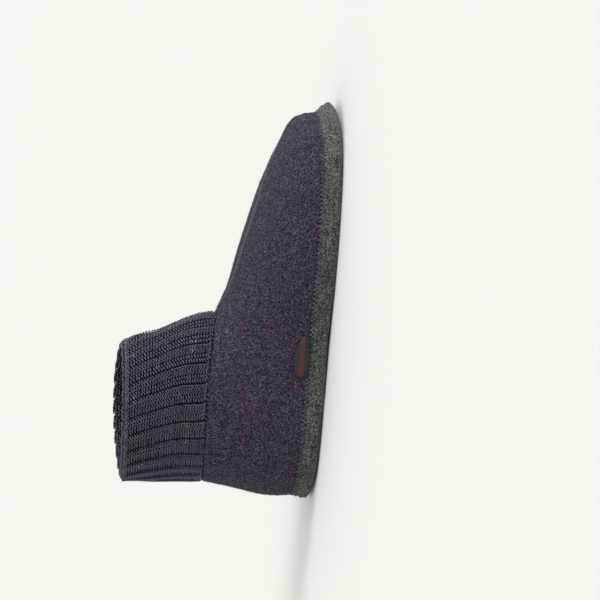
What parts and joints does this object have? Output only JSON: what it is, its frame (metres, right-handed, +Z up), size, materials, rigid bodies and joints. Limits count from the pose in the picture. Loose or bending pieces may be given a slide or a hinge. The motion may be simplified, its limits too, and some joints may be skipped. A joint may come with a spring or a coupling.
{
  "type": "wool slipper",
  "caption": "Boiled wool house slipper for the right foot, with a ribbed knit cuff, a raised centre seam and a moulded grey felt cup sole.",
  "frame": {"origin": "middle of the sole's footprint, on the floor", "axes": "+Y towards the toe, +X towards the outer side of the right foot, +Z up"},
  "size_m": [0.1061, 0.285, 0.1451],
  "materials": {
    "felt_sole": "moulded wool and latex felt, mottled grey green, matt",
    "felt_insole": "grey wool felt, matt",
    "boiled_wool": "boiled wool in dark navy and plum with coloured flecks, matt and fuzzy",
    "rib_knit": "2x2 rib knit of dark navy wool, matt",
    "woven_ribbon": "narrow woven ribbon, dark green with a plain red stripe"
  },
  "bodies": {
    "root": {"sole": "felt_sole", "insole": "felt_insole", "upper": "boiled_wool", "cuff": "rib_knit", "side_tab": "woven_ribbon"}
  },
  "joints": []
}
